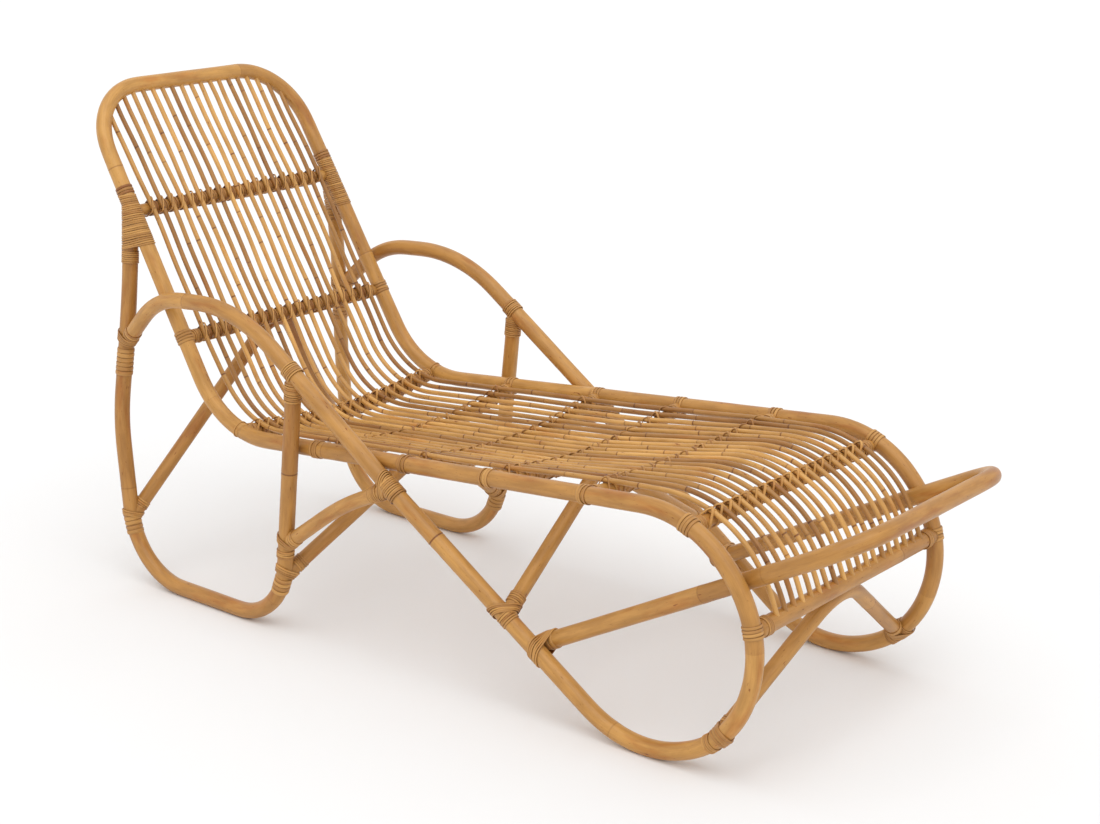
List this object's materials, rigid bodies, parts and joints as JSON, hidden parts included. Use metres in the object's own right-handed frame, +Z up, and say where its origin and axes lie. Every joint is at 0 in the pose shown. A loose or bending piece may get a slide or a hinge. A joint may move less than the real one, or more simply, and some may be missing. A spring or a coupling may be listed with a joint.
{
  "type": "rattan sun lounger",
  "caption": "Reclining lounger of bent cane poles with hoop arms, looped foot ends and a foot bow, and a deck of thin cane rods from the top of the back, over the seat, to a toe bar.",
  "frame": {"origin": "on the floor, under the middle of the overall box", "axes": "+X towards the foot end, +Y towards the sitter's left, +Z up"},
  "size_m": [1.7606, 0.641, 0.9696],
  "materials": {
    "pole_cane": "satin varnish on honey-coloured cane",
    "rod_cane": "satin varnish on thin honey-brown cane rods",
    "cane_strip": "satin split cane strip",
    "screw_steel": "plain steel",
    "dowel_wood": "bare wood"
  },
  "bodies": {
    "root": {"arm_end_lashings": "cane_strip", "back_bar_bindings": "cane_strip", "back_hoop": "pole_cane", "back_leg_lashings": "cane_strip", "bend_bar_bindings": "cane_strip", "brace_foot_lashings": "cane_strip", "brace_joint_lashings": "cane_strip", "crossbar_screws": "screw_steel", "foot_bow": "pole_cane", "foot_bow_lashings": "cane_strip", "front_arch": "pole_cane", "front_arch_lashings": "cane_strip", "front_bar": "pole_cane", "front_bar_lashings": "cane_strip", "knee_bar": "pole_cane", "knee_bar_lashings": "cane_strip", "left_corner_brace": "pole_cane", "left_leg_hoop": "pole_cane", "left_side_pole": "pole_cane", "leg_top_lashings": "cane_strip", "lower_back_bar": "pole_cane", "lower_back_bar_lashings": "cane_strip", "mid_arch": "pole_cane", "mid_arch_lashings": "cane_strip", "rail_dowels": "dowel_wood", "rear_arch": "pole_cane", "rear_arch_lashings": "cane_strip", "right_corner_brace": "pole_cane", "right_leg_hoop": "pole_cane", "right_side_pole": "pole_cane", "rod_01": "rod_cane", "rod_02": "rod_cane", "rod_03": "rod_cane", "rod_04": "rod_cane", "rod_05": "rod_cane", "rod_06": "rod_cane", "rod_07": "rod_cane", "rod_08": "rod_cane", "rod_09": "rod_cane", "rod_10": "rod_cane", "rod_11": "rod_cane", "rod_12": "rod_cane", "rod_13": "rod_cane", "rod_14": "rod_cane", "rod_15": "rod_cane", "rod_16": "rod_cane", "rod_17": "rod_cane", "rod_18": "rod_cane", "rod_19": "rod_cane", "seat_arch": "pole_cane", "seat_arch_lashings": "cane_strip", "seat_bar_1": "pole_cane", "seat_bar_2": "pole_cane", "seat_bar_3": "pole_cane", "seat_bar_4": "pole_cane", "seat_bar_bindings": "cane_strip", "seat_bar_lashings": "cane_strip", "toe_bar": "pole_cane", "toe_bar_lashings": "cane_strip", "upper_back_bar": "pole_cane"}
  },
  "joints": []
}
